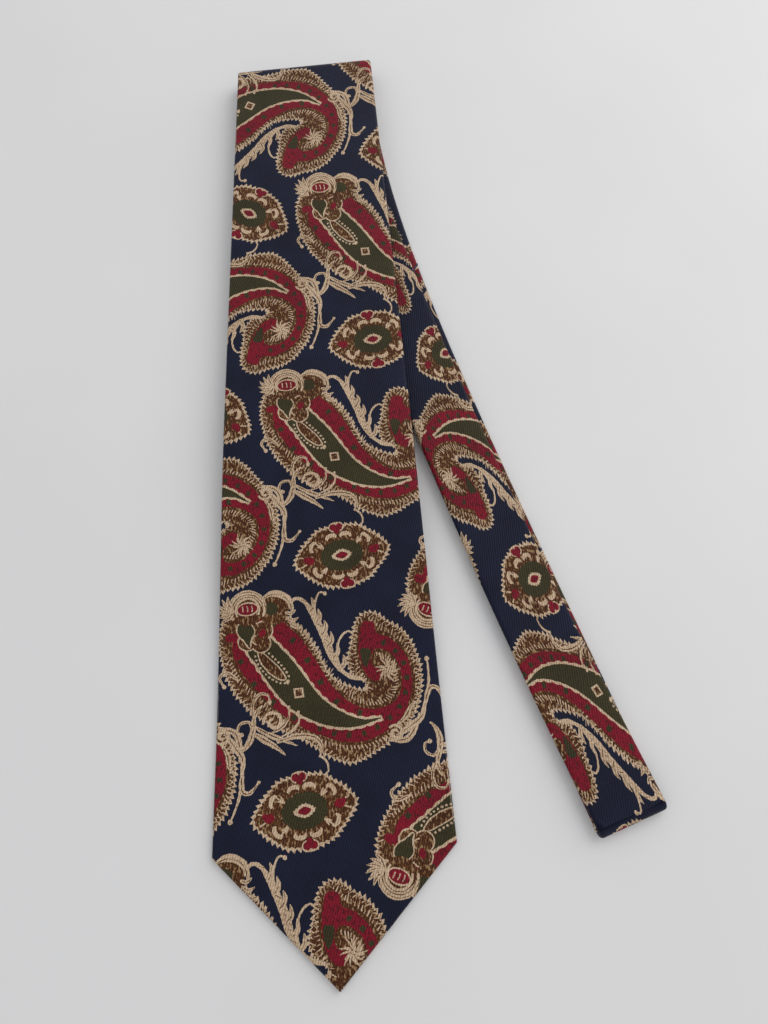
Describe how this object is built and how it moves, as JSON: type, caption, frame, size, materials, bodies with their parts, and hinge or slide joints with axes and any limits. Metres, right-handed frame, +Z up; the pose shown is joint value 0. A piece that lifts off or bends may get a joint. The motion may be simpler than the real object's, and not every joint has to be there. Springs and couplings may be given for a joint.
{
  "type": "necktie",
  "caption": "Gentleman's printed silk necktie folded in four, with pointed blade, keeper loop, tipping and a hinged top fold.",
  "frame": {"origin": "on the table under the middle of the folded tie's box", "axes": "+Y from the blade's point to the top fold, +X to the right across the blade's face, +Z up from the table"},
  "size_m": [0.173, 0.4466, 0.0121],
  "materials": {
    "printed_silk": "printed silk twill, navy with crimson, olive, brown and sand paisley",
    "wool_interlining": "brushed wool canvas",
    "lining_silk": "plain navy lining with a soft sheen",
    "label_cloth": "plain woven satin label, blank",
    "thread": "twisted navy sewing thread"
  },
  "bodies": {
    "front_blade": {"blade_shell": "printed_silk", "blade_interlining": "wool_interlining", "blade_tipping": "lining_silk", "blade_bar_tack": "thread", "blade_slip_stitch": "thread", "keeper_loop": "printed_silk", "keeper_stitches": "thread", "blank_label": "label_cloth", "label_stitches": "thread"},
    "rear_half": {"top_fold_shell": "printed_silk", "top_fold_interlining": "wool_interlining", "rear_shell": "printed_silk", "blade_join_seam": "thread", "rear_neck_shell": "printed_silk", "rear_interlining": "wool_interlining", "rear_slip_stitch": "thread", "neck_fold_shell": "printed_silk", "neck_fold_interlining": "wool_interlining", "strip_neck_shell": "printed_silk", "tail_join_seam": "thread", "strip_tail_shell": "printed_silk", "strip_interlining": "wool_interlining", "strip_slip_stitch": "thread", "tail_fold_shell": "printed_silk", "tail_fold_interlining": "wool_interlining"},
    "tail_end": {"tail_shell": "printed_silk", "tail_interlining": "wool_interlining", "tail_tipping": "lining_silk", "tail_bar_tack": "thread", "tail_slip_stitch": "thread"}
  },
  "joints": [
    {"name": "top_fold", "type": "hinge", "parent": "rear_half", "child": "front_blade", "pos_m": [-0.04102, 0.22191, 0.00605], "axis": [-0.9973, -0.0732, 0], "range_deg": [0, 180], "deforming": ["top_fold_shell", "top_fold_interlining"]},
    {"name": "tail_fold", "type": "hinge", "parent": "rear_half", "child": "tail_end", "pos_m": [-0.03568, 0.21742, 0.00605], "axis": [-0.9973, -0.0732, 0], "range_deg": [0, 180], "deforming": ["tail_fold_shell", "tail_fold_interlining"]}
  ],
  "couplings": [
    {"joint": "tail_fold", "follows": "top_fold", "ratio": 1}
  ]
}
